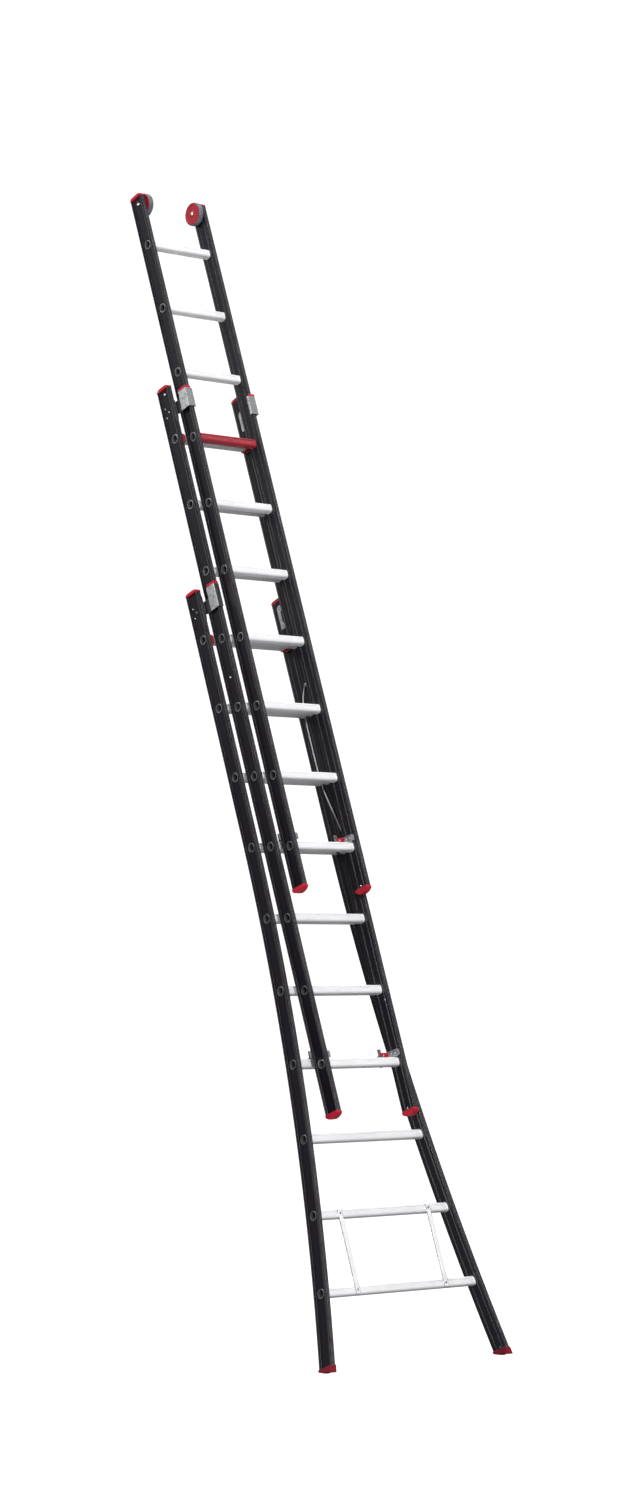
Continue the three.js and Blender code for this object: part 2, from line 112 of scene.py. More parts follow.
class Section:
    """Sizes of one of the three ladder sections, read from its CAD nodes."""

    def __init__(self, name):
        self.name = name
        self.body = f"{name}_section"
        stile_low, stile_high = local_box(f"{name}_stile_right")
        rung_low, rung_high = local_box(f"{name}_rung_1")
        self.web = (rung_high.x - rung_low.x) / 2 - RUNG_FLANGE
        self.outer = self.web + RUNG_RECESS
        self.inner = self.outer - STILE_THICKNESS
        self.depth = stile_high.y - stile_low.y
        self.back = (stile_high.y + stile_low.y) / 2
        self.front_face = self.back - self.depth / 2
        self.back_face = self.back + self.depth / 2
        self.tube_low = stile_low.z
        self.tube_top = stile_high.z - DOME_HEIGHT
        boxes = [local_box(f"{name}_rung_{n + 1}") for n in range(RUNGS_PER_SECTION)]
        self.rungs = [((low + high) / 2).z for low, high in boxes]
        self.flared = name == "bottom"

    def flare(self, height):
        """How far the stile stands out sideways at a height."""
        return max(0.0, FLARE_TOP - height) ** 2 / (2 * FLARE_RADIUS) if self.flared else 0.0


BOTTOM = Section("bottom")
MIDDLE = Section("middle")
FLY = Section("fly")
SECTIONS = (BOTTOM, MIDDLE, FLY)
SIDES = (("left", -1), ("right", 1))

# ---- camera

CAMERA_PLACE = (-8.0333, -9.667, 1.4809)
CAMERA_YAW = math.radians(40.318)  # from +Y towards +X
CAMERA_PITCH = math.radians(3.319)
CAMERA_ROLL = math.radians(0.146)
CAMERA_LENS = 80.65
CAMERA_LONG_SIDE = 36


def new_object(name, data):
    item = bpy.data.objects.new(name, data)
    bpy.context.scene.collection.objects.link(item)
    return item


def make_camera():
    data = bpy.data.cameras.new("camera")
    data.lens = CAMERA_LENS
    data.sensor_width = CAMERA_LONG_SIDE
    data.clip_end = 200
    camera = new_object("camera", data)
    reach = math.cos(CAMERA_PITCH)
    forward = Vector((math.sin(CAMERA_YAW) * reach, math.cos(CAMERA_YAW) * reach, math.sin(CAMERA_PITCH)))
    level = Vector((math.cos(CAMERA_YAW), -math.sin(CAMERA_YAW), 0))
    right = level * math.cos(CAMERA_ROLL) + level.cross(forward) * math.sin(CAMERA_ROLL)
    up = right.cross(forward)
    matrix = Matrix((right, up, -forward)).transposed().to_4x4()
    matrix.translation = CAMERA_PLACE
    camera.matrix_world = matrix
    bpy.context.scene.camera = camera


make_camera()

# ---- materials


class Tree:
    """A node tree, with short calls to add, set and link nodes."""

    def __init__(self, tree):
        self.tree = tree

    def node(self, kind):
        return self.tree.nodes.new("ShaderNode" + kind)

    def set(self, node, **values):
        for name, value in values.items():
            node.inputs[name].default_value = value

    def link(self, source, target):
        self.tree.links.new(source, target)

    def ramp(self, source, low, high, from_value=0.0, to_value=1.0):
        """source from low..high taken to from_value..to_value, and held beyond."""
        node = self.node("MapRange")
        for socket, value in zip(node.inputs[1:5], (low, high, from_value, to_value)):
            socket.default_value = value
        self.link(source, node.inputs[0])
        return node.outputs[0]


class Nodes(Tree):
    """A material's node tree, which ends in its shader."""

    def __init__(self, name, colour, metallic, roughness):
        self.material = bpy.data.materials.new(name)
        self.material.use_nodes = True
        self.material.diffuse_color = (*colour, 1)
        super().__init__(self.material.node_tree)
        self.shader = self.tree.nodes["Principled BSDF"]
        self.set(self.shader, **{"Base Color": (*colour, 1), "Metallic": metallic, "Roughness": roughness})
        self.coordinates = self.node("TexCoord").outputs["Object"]

    def scaled(self, scale, rotation=(0, 0, 0)):
        """Object coordinates stretched by a scale for each axis, and turned."""
        mapping = self.node("Mapping")
        self.set(mapping, Scale=scale, Rotation=rotation)
        self.link(self.coordinates, mapping.inputs["Vector"])
        return mapping.outputs["Vector"]

    def noise(self, scale, detail=3.0, roughness=0.55):
        node = self.node("TexNoise")
        self.set(node, Scale=1.0, Detail=detail, Roughness=roughness)
        self.link(self.scaled(scale), node.inputs["Vector"])
        return node.outputs["Fac"]

    def cells(self, scale, output="Distance"):
        node = self.node("TexVoronoi")
        self.set(node, Scale=1.0)
        self.link(self.scaled(scale), node.inputs["Vector"])
        return node.outputs[output]

    def spread(self, noise, from_value=0.0, to_value=1.0):
        """A noise's usual range taken to from_value..to_value."""
        return self.ramp(noise, 0.3, 0.7, from_value, to_value)

    def feed(self, socket, value):
        """Gives a socket a plain value, or links an output to it."""
        if isinstance(value, bpy.types.NodeSocket):
            self.link(value, socket)
        else:
            socket.default_value = value

    def blend(self, factor, first, second):
        """A mix of two colours, each a colour or an output."""
        node = self.node("Mix")
        node.data_type = "RGBA"
        self.link(factor, node.inputs[0])
        for socket, value in ((node.inputs[6], first), (node.inputs[7], second)):
            self.feed(socket, (*value, 1) if isinstance(value, tuple) else value)
        return node.outputs[2]

    def math(self, operation, first, second):
        node = self.node("Math")
        node.operation = operation
        for socket, value in zip(node.inputs, (first, second)):
            self.feed(socket, value)
        return node.outputs[0]

    def edges(self, radius):
        """1 on sharp edges and 0 on flat faces."""
        bevel = self.node("Bevel")
        bevel.samples = 4
        self.set(bevel, Radius=radius)
        geometry = self.node("NewGeometry")
        dot = self.node("VectorMath")
        dot.operation = "DOT_PRODUCT"
        self.link(bevel.outputs["Normal"], dot.inputs[0])
        self.link(geometry.outputs["Normal"], dot.inputs[1])
        return self.ramp(dot.outputs["Value"], 0.99, 0.85)

    def patchy_edge_mask(self, radius, scale, low, high, least, most):
        """A mask of sharp edges: between least and most of each sharp edge, in patches of noise from low to
        high. It marks rubbed edges, and on the stiles also painted highlights along the ribs.
        """
        edges = self.edges(radius)
        patches = self.ramp(self.noise(scale, detail=4), low, high, least, most)
        return self.math("MULTIPLY", edges, patches)

    def colour(self, output):
        self.link(output, self.shader.inputs["Base Color"])

    def roughness(self, output):
        self.link(output, self.shader.inputs["Roughness"])

    def bump(self, *layers):
        """Each layer is a height output and its distance in metres."""
        normal = None
        for height, distance in layers:
            node = self.node("Bump")
            self.set(node, Strength=1.0, Distance=distance)
            self.link(height, node.inputs["Height"])
            if normal is not None:
                self.link(normal, node.inputs["Normal"])
            normal = node.outputs["Normal"]
        self.link(normal, self.shader.inputs["Normal"])


def coated_aluminium():
    """Charcoal anodised extrusion, with fine lines along it, faint scuffs, and pale edges that are partly
    rubbed coating and partly painted highlights along the ribs.
    """
    n = Nodes("coated_aluminium", (0.007, 0.0058, 0.008), 0.0, 0.42)
    n.set(n.shader, **{"Specular IOR Level": 0.14, "Coat Weight": 0.3, "Coat Roughness": 0.2})
    lines = n.noise((900, 900, 2.2), detail=2)
    patches = n.noise((9, 9, 2.5), detail=4)
    scuffs = n.ramp(n.noise((160, 160, 60), detail=5, roughness=0.7), 0.66, 0.82)
    # pale sharp edges: partly rubbed coating, partly painted highlight lines along the ribs' crests
    paler_edges = n.patchy_edge_mask(1.6 * MM, (60, 60, 14), 0.35, 0.65, 0.45, 1.0)
    base = n.blend(n.spread(patches), (0.0068, 0.0052, 0.0086), (0.0094, 0.0074, 0.0118))
    base = n.blend(n.math("MULTIPLY", scuffs, 0.03), base, (0.15, 0.14, 0.155))
    # the pale grey on the edges is partly painted highlight
    n.colour(n.blend(paler_edges, base, (0.26, 0.255, 0.275)))
    streaks = n.math("MULTIPLY", n.spread(lines), 0.05)
    n.roughness(n.math("ADD", streaks, n.spread(patches, 0.29, 0.36)))
    n.bump((lines, 0.004 * MM), (patches, 0.04 * MM))
    return n.material


def bright_aluminium():
    """Mill-finish extrusion, brushed along its length."""
    n = Nodes("bright_aluminium", (0.90, 0.91, 0.92), 0.4, 0.34)
    brushed = n.noise((5, 1400, 1400), detail=2)
    patches = n.noise((14, 40, 40), detail=4)
    grime = n.ramp(n.noise((60, 260, 260), detail=5, roughness=0.7), 0.58, 0.8)
    base = n.blend(n.spread(patches), (0.92, 0.92, 0.94), (0.98, 0.98, 0.99))
    base = n.blend(n.math("MULTIPLY", grime, 0.2), base, (0.60, 0.60, 0.62))
    lines = n.math("MULTIPLY", n.ramp(brushed, 0.35, 0.65), 0.15)
    n.colour(n.blend(lines, base, (0.76, 0.76, 0.79)))
    n.roughness(n.math("ADD", n.math("MULTIPLY", brushed, 0.1), n.spread(patches, 0.34, 0.44)))
    n.bump((brushed, 0.03 * MM), (patches, 0.06 * MM))
    return n.material


def rung_bore():
    """The dull inside of a rung, coloured near black as painted shade for the unlit bore, with a little
    dust.
    """
    n = Nodes("rung_bore", (0.045, 0.045, 0.05), 0.6, 0.7)
    dust = n.noise((220, 220, 220), detail=4)
    # both greys are painted shade inside the tube; the dust noise only varies them
    n.colour(n.blend(dust, (0.02, 0.02, 0.023), (0.075, 0.075, 0.08)))
    n.bump((dust, 0.1 * MM))
    return n.material


def red_enamel():
    """Red powder coat over a grooved rung, with a light orange-peel surface."""
    n = Nodes("red_enamel", (0.33, 0.018, 0.03), 0.0, 0.36)
    n.set(n.shader, **{"Coat Weight": 0.25, "Coat Roughness": 0.25})
    peel = n.noise((420, 420, 420), detail=2)
    patches = n.noise((10, 60, 60), detail=4)
    paler_edges = n.patchy_edge_mask(0.9 * MM, (40, 300, 300), 0.4, 0.7, 0.1, 0.7)
    base = n.blend(n.spread(patches), (0.29, 0.014, 0.026), (0.38, 0.022, 0.036))
    n.colour(n.blend(paler_edges, base, (0.62, 0.42, 0.42)))
    n.roughness(n.spread(patches, 0.3, 0.42))
    n.bump((peel, 0.05 * MM))
    return n.material


def red_plastic(name, dark, light):
    """Moulded red plastic with a fine grain, paler where its edges have rubbed."""
    n = Nodes(name, dark, 0.0, 0.45)
    n.set(n.shader, **{"Specular IOR Level": 0.3})
    grain = n.cells((1500, 1500, 1500))
    patches = n.noise((45, 45, 45), detail=4)
    paler_edges = n.patchy_edge_mask(1 * MM, (120, 120, 120), 0.35, 0.7, 0.05, 0.5)
    base = n.blend(n.spread(patches), dark, light)
    n.colour(n.blend(paler_edges, base, (0.66, 0.12, 0.13)))
    n.roughness(n.spread(patches, 0.38, 0.52))
    n.bump((grain, 0.05 * MM), (patches, 0.2 * MM))
    return n.material


def galvanised_steel():
    """Zinc-plated steel with a faint spangle and dull patches."""
    n = Nodes("galvanised_steel", (0.62, 0.63, 0.65), 1.0, 0.38)
    spangle = n.cells((260, 260, 260), output="Color")
    patches = n.noise((70, 70, 70), detail=5)
    both = n.math("ADD", n.math("MULTIPLY", spangle, 0.4), n.math("MULTIPLY", patches, 0.6))
    tone = n.ramp(both, 0.25, 0.75)
    n.colour(n.blend(tone, (0.40, 0.41, 0.43), (0.60, 0.61, 0.63)))
    n.roughness(n.spread(patches, 0.24, 0.4))
    n.bump((patches, 0.1 * MM), (n.noise((900, 900, 900)), 0.02 * MM))
    return n.material


def black_steel():
    """Near-black steel, slightly glossier than the stiles. On the pawls' legs its black is painted shade.
    """
    n = Nodes("black_steel", (0.012, 0.012, 0.013), 0.0, 0.35)
    peel = n.noise((500, 500, 500), detail=3)
    paler_edges = n.patchy_edge_mask(1 * MM, (90, 90, 90), 0.4, 0.7, 0.1, 0.8)
    n.colour(n.blend(paler_edges, (0.012, 0.012, 0.013), (0.18, 0.18, 0.185)))
    n.roughness(n.spread(peel, 0.3, 0.42))
    n.bump((peel, 0.04 * MM))
    return n.material


def grey_rubber():
    """Blue-grey tyre rubber, dusty and slightly pitted."""
    n = Nodes("grey_rubber", (0.12, 0.13, 0.165), 0.0, 0.7)
    pits = n.noise((700, 700, 700), detail=4)
    dust = n.ramp(n.noise((60, 60, 60), detail=5), 0.4, 0.75)
    n.colour(n.blend(dust, (0.085, 0.095, 0.125), (0.19, 0.20, 0.235)))
    n.roughness(n.ramp(dust, 0.0, 1.0, 0.6, 0.82))
    n.bump((pits, 0.08 * MM))
    return n.material


def grey_webbing():
    """A braided cord: strands cross it both ways."""
    n = Nodes("grey_webbing", (0.5, 0.5, 0.5), 0.0, 0.85)
    n.set(n.shader, **{"Sheen Weight": 0.3, "Sheen Roughness": 0.5})
    heights = []
    tilt_of_strands = 0.42
    for tilt in (tilt_of_strands, -tilt_of_strands):
        wave = n.node("TexWave")
        n.set(wave, Scale=1.0, Distortion=0.6, Detail=1.0)
        wave.bands_direction = "Z"
        n.link(n.scaled((1, 1, 180), (tilt, tilt, 0)), wave.inputs["Vector"])
        heights.append(wave.outputs["Fac"])
    weave = n.math("MULTIPLY", heights[0], heights[1])
    n.colour(n.blend(n.ramp(weave, 0.05, 0.7), (0.34, 0.34, 0.35), (0.80, 0.80, 0.81)))
    n.bump((weave, 0.5 * MM))
    return n.material


def pale_floor():
    """Studio floor: white to the camera, and grey in the light that it throws back."""
    n = Nodes("pale_floor", (0.2, 0.2, 0.2), 0.0, 0.9)
    n.set(n.shader, **{"Specular IOR Level": 0.1, "Emission Color": (1, 1, 1, 1)})
    n.colour(n.blend(n.noise((0.4, 0.4, 0.4), detail=2), (0.19, 0.19, 0.19), (0.21, 0.21, 0.21)))
    n.link(n.node("LightPath").outputs["Is Camera Ray"], n.shader.inputs["Emission Strength"])
    return n.material


COATED = coated_aluminium()
BRIGHT = bright_aluminium()
BORE_PAINTED_SHADE = rung_bore()
ENAMEL = red_enamel()
RED = red_plastic("red_plastic", (0.40, 0.008, 0.022), (0.50, 0.012, 0.032))
# the hub's red is the same plastic made darker, as painted shade
HUB_RED_PAINTED_SHADE = red_plastic("dark_red_plastic", (0.30, 0.006, 0.014), (0.38, 0.010, 0.022))
# the feet's red is the same plastic made darker still, as painted shade
FOOT_RED_PAINTED_SHADE = red_plastic("foot_red_plastic", (0.15, 0.003, 0.010), (0.20, 0.005, 0.014))
STEEL = galvanised_steel()
BLACK = black_steel()
RUBBER = grey_rubber()
WEBBING = grey_webbing()

# ---- mesh helpers


class Solid:
    """Points and faces of one piece, in the ladder's own frame."""

    def __init__(self):
        self.points = []
        self.faces = []
        self.finish = []

    def loft(self, rings, finish=0, caps=(True, True), closed=False):
        """Faces between rings of equally many points, and from the last to the first if closed. finish is a
        material number, and caps says whether the first and last rings are filled."""
        start = len(self.points)
        count = len(rings[0])
        for ring in rings:
            self.points.extend(Vector(point) for point in ring)
        for row in range(len(rings) if closed else len(rings) - 1):
            first = start + row * count
            second = start + (row + 1) % len(rings) * count
            for column in range(count):
                after = (column + 1) % count
                self.add_face((first + column, first + after, second + after, second + column), finish)
        for wanted, row in zip(caps, (0, len(rings) - 1)):
            if wanted:
                self.add_face(range(start + row * count, start + (row + 1) * count), finish)
        return self

    def add_face(self, corners, finish):
        self.faces.append(tuple(corners))
        self.finish.append(finish)

    def up(self, outline, low, high):
        """Extrudes an outline of (across, back) points between two heights."""
        return self.loft([[(x, y, height) for x, y in outline] for height in (low, high)])

    def across(self, outline, low, high):
        """Extrudes an outline of (back, up) points between two places across the ladder."""
        return self.loft([[(x, y, z) for y, z in outline] for x in (low, high)])

    def lathe(self, profile, centre, sides, direction=1, closed=False):
        """Turns (radius, along) points round the axis across the ladder through centre."""
        rings = []
        for radius, along in profile:
            ring = []
            for index in range(sides):
                angle = 2 * math.pi * index / sides
                turned = Vector((direction * along, radius * math.cos(angle), radius * math.sin(angle)))
                ring.append(Vector(centre) + turned)
            rings.append(ring)
        return self.loft(rings, caps=(not closed, not closed), closed=closed)

    def for_side(self, side):
        """This piece, which is made for the right-hand side, on the side asked for."""
        if side > 0:
            return self
        other = Solid()
        other.points = [Vector((-point.x, point.y, point.z)) for point in self.points]
        other.faces = [tuple(reversed(face)) for face in self.faces]
        other.finish = list(self.finish)
        return other

    def mesh(self, name, welded=False):
        data = bpy.data.meshes.new(name)
        data.from_pydata(self.points, [], self.faces)
        data.polygons.foreach_set("material_index", self.finish)
        shell = bmesh.new()
        shell.from_mesh(data)
        if welded:
            bmesh.ops.remove_doubles(shell, verts=shell.verts, dist=WELD_DISTANCE)
        bmesh.ops.recalc_face_normals(shell, faces=shell.faces)
        shell.to_mesh(data)
        shell.free()
        return data


def add_object(name, data):
    """An object whose data are in the ladder's own frame."""
    piece = new_object(name, data)
    piece.matrix_world = LADDER
    return piece


def add_piece(name, data, materials, body, bevel=0.0, stands_for=None):
    """An object with its edges rounded, its materials, its body and the CAD node that it stands for."""
    if isinstance(data, Solid):
        data = data.mesh(name)
    piece = add_object(name, data)
    for item in materials:
        data.materials.append(item)
    if bevel:
        edge = piece.modifiers.new("round_edges", "BEVEL")
        edge.width = bevel
        edge.segments = 2
        edge.limit_method = "ANGLE"
        edge.angle_limit = SHARP_ANGLE
    data.polygons.foreach_set("use_smooth", [True] * len(data.polygons))
    if not bevel:
        data.set_sharp_from_angle(angle=SHARP_ANGLE)
    piece.modifiers.new("even_shading", "WEIGHTED_NORMAL").keep_sharp = True
    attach(piece, body)
    if stands_for:
        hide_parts(stands_for)
    return piece


def subtract(data, cutter_data, name):
    """data with cutter_data cut out of it."""
    piece = add_object(name, data)
    cutter = add_object(name + "_cutter", cutter_data)
    cut = piece.modifiers.new("cut", "BOOLEAN")
    cut.operation = "DIFFERENCE"
    cut.solver = "EXACT"
    cut.object = cutter
    evaluated = piece.evaluated_get(bpy.context.evaluated_depsgraph_get())
    result = bpy.data.meshes.new_from_object(evaluated)
    for used in (piece, cutter):
        bpy.data.objects.remove(used)
    return result


def rounded(corners, radius, steps=3):
    """A closed outline with its corners rounded, by less where the sides are short."""
    points = []
    count = len(corners)
    share = 0.45  # the most of a side that one of its corners takes
    for index, corner in enumerate(corners):
        corner = Vector(corner)
        before = Vector(corners[index - 1]) - corner
        after = Vector(corners[(index + 1) % count]) - corner
        reach = min(radius, before.length * share, after.length * share)
        start = corner + before.normalized() * reach
        end = corner + after.normalized() * reach
        for step in range(steps + 1):
            t = step / steps
            points.append(start * (1 - t) ** 2 + corner * 2 * t * (1 - t) + end * t**2)
    return points


def fastener(name, body, place, radius, height, side):
    """A low domed steel head with a round recess, whose flat back lies at place."""
    # Each row is (share of the radius, share of the height), from the back to the middle of the recess.
    shares = ((1.0, 0.0), (1.0, 0.35), (0.82, 0.85), (0.55, 1.0), (0.45, 1.0), (0.3825, 0.55), (0.05, 0.5))
    profile = [(radius * across, height * along) for across, along in shares]
    head = Solid().lathe(profile, place, sides=16, direction=side)
    return add_piece(name, head, [STEEL], body)


# ---- cord

STRAP_DIAMETER = 5 * MM
STRAP_STANDOFF = 1.5 * MM  # from the stile's inner face to the cord
# How far each point of the cord's route lies forward of the bottom stiles, and how high along them.
STRAP_ROUTE = (
    (0.084, 2.008), (0.072, 2.060), (0.056, 2.125), (0.040, 2.200), (0.035, 2.360), (0.038, 2.490),
    (0.050, 2.555), (0.078, 2.604),
)


def smooth_route(points, steps=8):
    """Points along a centripetal Catmull-Rom curve through the given ones."""
    ends = [points[0] * 2 - points[1], *points, points[-1] * 2 - points[-2]]
    # Each level blends neighbouring points of the one before it, between these pairs of knots.
    levels = (((0, 1), (1, 2), (2, 3)), ((0, 2), (1, 3)), ((1, 2),))
    route = []
    for stretch in zip(ends, ends[1:], ends[2:], ends[3:]):
        knots = [0.0]
        for first, second in zip(stretch, stretch[1:]):
            knots.append(knots[-1] + math.sqrt((second - first).length))
        for step in range(steps):
            at = knots[1] + (knots[2] - knots[1]) * step / steps
            blended = stretch
            for pairs in levels:
                above = []
                for first, second, (low, high) in zip(blended, blended[1:], pairs):
                    width = knots[high] - knots[low]
                    share = (knots[high] - at) / width
                    above.append(first * share + second * ((at - knots[low]) / width))
                blended = above
            route.append(blended[0])
    return [*route, points[-1]]


def make_strap():
    across = MIDDLE.inner - STRAP_DIAMETER / 2 - STRAP_STANDOFF
    points = smooth_route([Vector((across, -forward, height)) for forward, height in STRAP_ROUTE])
    data = bpy.data.curves.new("strap_cord", "CURVE")
    data.dimensions = "3D"
    data.bevel_depth = STRAP_DIAMETER / 2
    data.bevel_resolution = 3
    data.use_fill_caps = True
    spline = data.splines.new("POLY")
    spline.points.add(len(points) - 1)
    for point, place in zip(spline.points, points):
        point.co = (*place, 1)
    spline.use_smooth = True
    data.materials.append(WEBBING)
    cord = add_object("strap_cord", data)
    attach(cord, "middle_section")
    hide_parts("strap")
    for end, place in (("low", points[0]), ("high", points[-1])):
        root = (MIDDLE.inner, place.y, place.z)
        fastener(f"strap_anchor_{end}", MIDDLE.body, root, 7 * MM, 3 * MM, -1)


make_strap()

# ---- stiles


def side_with_steps(length, features):
    """(along, sunk) points of a straight side from -length/2 to length/2. A feature is the middle and half
    width of a groove's floor, how deep it is and how wide its sloping sides are."""
    points = [(-length / 2, 0.0)]
    for middle, half, sunk, slope in features:
        points += [(middle - half - slope, 0.0), (middle - half, sunk), (middle + half, sunk)]
        points.append((middle + half + slope, 0.0))
    points.append((length / 2, 0.0))
    return points


def stile_outline(depth):
    """Right-hand stile seen from above, as (across, back) points round its middle."""
    half_thickness = STILE_THICKNESS / 2
    half_depth = depth / 2
    outside = [(0.0, half_depth - RIB_WIDTH - RIB_SLOPE, RUNG_RECESS, RIB_SLOPE)]
    inside = [
        (-(half_depth - 8 * MM), 0.9 * MM, 0.7 * MM, 1.4 * MM),
        (-11 * MM, 1.3 * MM, 1.7 * MM, 1.6 * MM),
        (half_depth - 12 * MM, 1.4 * MM, 1.8 * MM, 1.6 * MM),
    ]
    edge = [(place, 0.8 * MM, 0.8 * MM, 0.6 * MM) for place in (-3.4 * MM, 3.4 * MM)]
    long_side = depth - 2 * STILE_CORNER
    short_side = STILE_THICKNESS - 2 * STILE_CORNER
    outline = []
    sides = (
        (Vector((1, 0)), half_thickness, half_depth, side_with_steps(long_side, outside)),
        (Vector((0, 1)), half_depth, half_thickness, side_with_steps(short_side, edge)),
        (Vector((-1, 0)), half_thickness, half_depth, side_with_steps(long_side, inside)),
        (Vector((0, -1)), half_depth, half_thickness, side_with_steps(short_side, edge)),
    )
    for normal, distance, reach, steps in sides:
        tangent = Vector((-normal.y, normal.x))
        outline += [normal * (distance - sunk) + tangent * along for along, sunk in steps]
        centre = normal * (distance - STILE_CORNER) + tangent * (reach - STILE_CORNER)
        for turn in (30, 60):
            angle = math.radians(turn)
            outline.append(centre + STILE_CORNER * (normal * math.cos(angle) + tangent * math.sin(angle)))
    return outline


def rung_outline(half, corner, groove=0.0, grooves=4):
    """(back, up) points of a rung's outline, with fine grooves along each of its four sides. The highest
    one on the climber's side is deeper."""
    flat = half - corner
    pitch = 2 * flat / grooves
    outline = []
    for quarter in range(4):
        angle = quarter * math.pi / 2
        normal = Vector((math.cos(angle), math.sin(angle)))
        tangent = Vector((-normal.y, normal.x))
        for index in range(grooves):
            middle = -flat + (index + 0.5) * pitch
            deep = quarter == 2 and index == 0
            sunken, floor = (groove * 5.7, 0.42) if deep else (groove, 0.2)
            edge = floor + 0.06
            for along, sunk in ((-edge, 0), (-floor, sunken), (floor, sunken), (edge, 0)):
                outline.append(normal * (half - sunk) + tangent * (middle + along * pitch))
        for turn in (0, 22.5, 45, 67.5, 90):
            bend = math.radians(turn)
            corner_reach = normal * math.cos(bend) + tangent * math.sin(bend)
            outline.append((normal + tangent) * flat + corner_reach * corner)
    return outline


def make_stile(section, hand, side):
    middle = section.outer - STILE_THICKNESS / 2
    outline = [(x + middle, y + section.back) for x, y in stile_outline(section.depth)]
    heights = [section.tube_low, section.tube_top]
    if section.flared:
        rise = FLARE_TOP - section.tube_low
        heights[1:1] = [section.tube_low + rise * (n + 1) / FLARE_STEPS for n in range(FLARE_STEPS)]
    stile = Solid().loft([[(x + section.flare(z), y, z) for x, y in outline] for z in heights])
    holes = Solid()
    for height in section.rungs:
        hole = [(y + section.back, z + height) for y, z in rung_outline(RUNG_HALF, END_CORNER, grooves=1)]
        outer = section.outer + section.flare(height)
        holes.across(hole, outer - 2 * STILE_THICKNESS, outer + STILE_THICKNESS)
    name = f"{section.name}_stile_{hand}"
    data = subtract(
        stile.for_side(side).mesh(name + "_tube"),
        holes.for_side(side).mesh(name + "_holes"),
        name,
    )
    add_piece(f"{name}_profile", data, [COATED], section.body, stands_for=name)


def make_top_plug(section, hand, side):
    """The arched plug in a stile's top end, with a lip over the outside of the tube."""
    proud = 0.4 * MM
    lip = 5 * MM
    shoulder = 1 * MM
    half = section.depth / 2 + proud
    top = section.tube_top
    arch = []
    arch_steps = 12
    for step in range(arch_steps + 1):
        t = step / arch_steps * 2 - 1
        rise = (DOME_HEIGHT - shoulder) * (1 - t**4) ** 0.7
        arch.append((section.back - t * half, top + shoulder + rise))
    outline = [(section.back - half, top - lip), (section.back + half, top - lip), *arch]
    plug = Solid()
    plug.across(outline, section.inner - proud, section.outer + proud)
    name = f"{section.name}_top_plug_{hand}"
    add_piece(name, plug.for_side(side), [RED], section.body, bevel=1.4 * MM)


# ---- rungs


def make_rung(section, index):
    height = section.rungs[index]
    face = section.web + section.flare(height)
    # Each ring is (place across, half size, corner, depth of any grooves), from the middle outwards.
    inner_face = section.inner + section.flare(height)
    tread = 0.7 * MM
    wall = 5.2 * MM
    lip = face + RUNG_FLANGE
    slant_from = inner_face - 10 * MM
    body = [
        (0.0, RUNG_HALF, RUNG_CORNER, tread),
        (inner_face - 8 * MM, RUNG_HALF, RUNG_CORNER, tread),
        (inner_face - 6.5 * MM, RUNG_HALF, RUNG_CORNER),
        (inner_face - 4 * MM, RUNG_HALF + 1.2 * MM, RUNG_CORNER + 3 * MM),
        (inner_face - MM, RUNG_HALF + 1.5 * MM, RUNG_CORNER + 4 * MM),
        (inner_face - GAP, RUNG_HALF + MM, RUNG_CORNER + 4 * MM),
        (inner_face - GAP, RUNG_HALF - GAP, END_CORNER - GAP),
        (face + GAP, RUNG_HALF - GAP, END_CORNER - GAP),
    ]
    rolled = [
        body[-1],
        (face + GAP, RUNG_HALF + 0.7 * MM, END_CORNER + 0.7 * MM),
        (lip - 0.5 * MM, RUNG_HALF + 0.8 * MM, END_CORNER + 0.8 * MM),
        (lip, RUNG_HALF + 0.3 * MM, END_CORNER + 0.3 * MM),
        (lip, RUNG_HALF - 1.1 * MM, END_CORNER - 1.1 * MM),
    ]
    bore = [
        (lip, RUNG_HALF - 1.1 * MM, END_CORNER - 1.1 * MM),
        (face, RUNG_HALF - 2.4 * MM, END_CORNER - 2.4 * MM),
        (face - 2.0 * MM, RUNG_HALF - wall, END_CORNER - 4.5 * MM),
        (face - 60 * MM, RUNG_HALF - wall, END_CORNER - 4.5 * MM),
    ]

    def ring(side, across, half, corner, groove=0.0):
        """A ring that follows the slant of a flared stile at the rung's ends."""
        slant = 1 if across > slant_from else 0
        points = []
        for y, z in rung_outline(half, corner, groove):
            shift = slant * (section.flare(height + z) - section.flare(height))
            points.append((side * (across + shift), y + section.back, z + height))
        return points

    rung = Solid()
    left_to_right = [ring(-1, *row) for row in reversed(body)] + [ring(1, *row) for row in body[1:]]
    rung.loft(left_to_right, caps=(False, False))
    for side in (-1, 1):
        # the bore rings take the near-black finish, which is painted shade
        rung.loft([ring(side, *row) for row in bore], finish=1, caps=(False, True))
        rung.loft([ring(side, *row) for row in rolled], finish=2, caps=(False, False))
    marker = section.name == "fly" and index == RUNGS_RAISED
    name = f"{section.name}_rung_{index + 1}"
    data = rung.mesh(name + "_tread", welded=True)
    finishes = [ENAMEL if marker else BRIGHT, BORE_PAINTED_SHADE, STEEL]
    add_piece(f"{name}_tread", data, finishes, section.body, stands_for=name)


def make_rung_collar(section, hand, side):
    """A red collar round the end of the top rung, beside the stile."""
    height = section.rungs[0]
    start = section.inner - 5 * MM
    width = 18 * MM
    inside = RUNG_HALF + GAP
    shoulder = RUNG_HALF + 2.6 * MM
    crest = RUNG_HALF + 3.2 * MM
    bend = 1 * MM
    rows = (
        (start, inside), (start, shoulder), (start - bend, crest), (start - width + bend, crest),
        (start - width, shoulder), (start - width, inside), (start, inside),
    )
    rings = []
    for across, half in rows:
        ring = rung_outline(half, RUNG_CORNER, grooves=1)
        rings.append([(across, y + section.back, z + height) for y, z in ring])
    collar = Solid().loft(rings, caps=(False, False))
    add_piece(f"{section.name}_rung_collar_{hand}", collar.for_side(side), [RED], section.body)


# ---- caps, feet and braces


